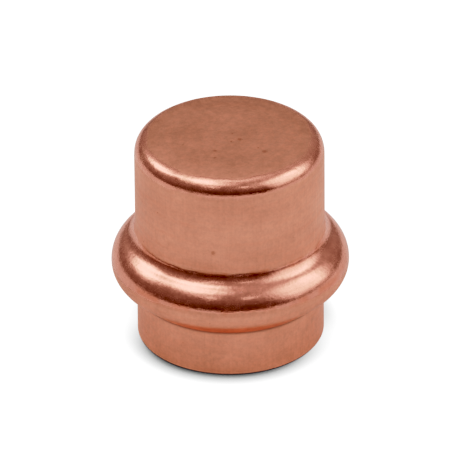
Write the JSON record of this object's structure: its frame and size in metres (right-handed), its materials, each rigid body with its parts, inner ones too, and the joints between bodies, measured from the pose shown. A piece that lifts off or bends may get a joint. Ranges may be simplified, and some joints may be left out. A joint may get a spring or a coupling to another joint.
{
  "type": "press cap",
  "caption": "Copper press-fit pipe cap: a drawn cup with a flat closed end and a hollow bead that holds a rubber sealing ring, for closing the end of a 22 mm copper tube.",
  "frame": {"origin": "centre of the open mouth, on the plane of its rim", "axes": "+Z along the cap's axis, from the open mouth to the closed end; the shape is the same all round it"},
  "size_m": [0.0308, 0.0308, 0.0287],
  "materials": {
    "copper": "bare pickled copper, satin on the plain lengths and burnished on the shoulder and the bead",
    "black_rubber": "black moulded EPDM with a light film of grease"
  },
  "bodies": {
    "root": {"cap_body": "copper", "o_ring": "black_rubber"}
  },
  "joints": []
}
